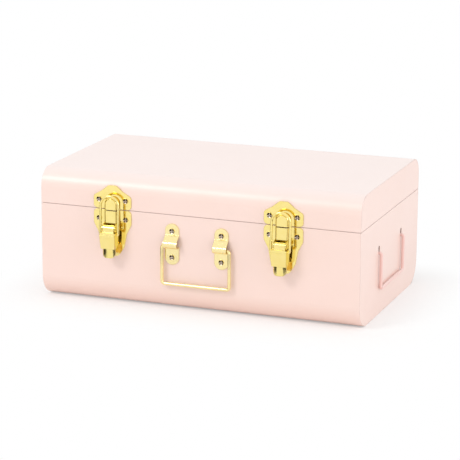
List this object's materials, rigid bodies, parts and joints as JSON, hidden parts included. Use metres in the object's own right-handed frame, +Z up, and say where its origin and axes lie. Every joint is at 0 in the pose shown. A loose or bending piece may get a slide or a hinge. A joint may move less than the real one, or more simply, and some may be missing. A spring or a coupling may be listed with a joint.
{
  "type": "small steel storage trunk",
  "caption": "Small pink painted steel trunk for sewing things: a hinged lid, gold toggle latches, a wire drop handle in strap brackets on the front and a wire handle at each end.",
  "frame": {"origin": "centre of the bottom face of the case", "axes": "+X along the length towards the right end, +Y from the latches on the front towards the hinges, +Z up"},
  "size_m": [0.41, 0.2643, 0.158],
  "materials": {
    "pink_paint": "satin",
    "latch_gold": "polished",
    "handle_gold": "polished"
  },
  "bodies": {
    "case": {"body_wrap": "pink_paint", "body_end_left": "pink_paint", "body_end_right": "pink_paint", "body_collar": "pink_paint", "hinge_left_body_leaf": "pink_paint", "hinge_left_pin": "pink_paint", "hinge_right_body_leaf": "pink_paint", "hinge_right_pin": "pink_paint", "hinge_rivets_body": "pink_paint", "latch_left_base": "latch_gold", "latch_left_pin": "latch_gold", "latch_right_base": "latch_gold", "latch_right_pin": "latch_gold", "latch_rivets_body": "latch_gold", "front_bracket_left": "handle_gold", "front_bracket_right": "handle_gold", "front_bracket_rivets": "handle_gold", "side_clip_left_front": "pink_paint", "side_clip_left_back": "pink_paint", "side_clip_right_front": "pink_paint", "side_clip_right_back": "pink_paint"},
    "lid": {"lid_wrap": "pink_paint", "lid_end_left": "pink_paint", "lid_end_right": "pink_paint", "hinge_left_lid_leaf": "pink_paint", "hinge_right_lid_leaf": "pink_paint", "hinge_rivets_lid": "pink_paint", "latch_left_keeper": "latch_gold", "latch_right_keeper": "latch_gold", "latch_rivets_lid": "latch_gold"},
    "lever_left": {"latch_left_lever": "latch_gold"},
    "bail_left": {"latch_left_bail": "latch_gold"},
    "lever_right": {"latch_right_lever": "latch_gold"},
    "bail_right": {"latch_right_bail": "latch_gold"},
    "handle_front": {"front_handle": "handle_gold"},
    "handle_left": {"side_handle_left": "pink_paint"},
    "handle_right": {"side_handle_right": "pink_paint"}
  },
  "joints": [
    {"name": "lid_hinge", "type": "hinge", "parent": "case", "child": "lid", "pos_m": [0, 0.1229, 0.117], "axis": [-1, 0, 0], "range_deg": [0, 100]},
    {"name": "latch_left_lever_pivot", "type": "hinge", "parent": "case", "child": "lever_left", "pos_m": [-0.107, -0.1314, 0.0962], "axis": [-1, 0, 0], "range_deg": [0, 150]},
    {"name": "latch_left_bail_pivot", "type": "hinge", "parent": "lever_left", "child": "bail_left", "pos_m": [-0.107, -0.1316, 0.0887], "axis": [-1, 0, 0], "range_deg": [-225, 0]},
    {"name": "latch_right_lever_pivot", "type": "hinge", "parent": "case", "child": "lever_right", "pos_m": [0.107, -0.1314, 0.0962], "axis": [-1, 0, 0], "range_deg": [0, 150]},
    {"name": "latch_right_bail_pivot", "type": "hinge", "parent": "lever_right", "child": "bail_right", "pos_m": [0.107, -0.1316, 0.0887], "axis": [-1, 0, 0], "range_deg": [-225, 0]},
    {"name": "front_handle_swing", "type": "hinge", "parent": "case", "child": "handle_front", "pos_m": [0, -0.125, 0.081], "axis": [-1, 0, 0], "range_deg": [0, 165]},
    {"name": "side_handle_left_swing", "type": "hinge", "parent": "case", "child": "handle_left", "pos_m": [-0.1972, 0, 0.076], "axis": [0, 1, 0], "range_deg": [0, 90]},
    {"name": "side_handle_right_swing", "type": "hinge", "parent": "case", "child": "handle_right", "pos_m": [0.1972, 0, 0.076], "axis": [0, -1, 0], "range_deg": [0, 90]}
  ],
  "couplings": [
    {"joint": "latch_left_bail_pivot", "follows": "latch_left_lever_pivot", "ratio": -1.5},
    {"joint": "latch_right_bail_pivot", "follows": "latch_right_lever_pivot", "ratio": -1.5}
  ]
}
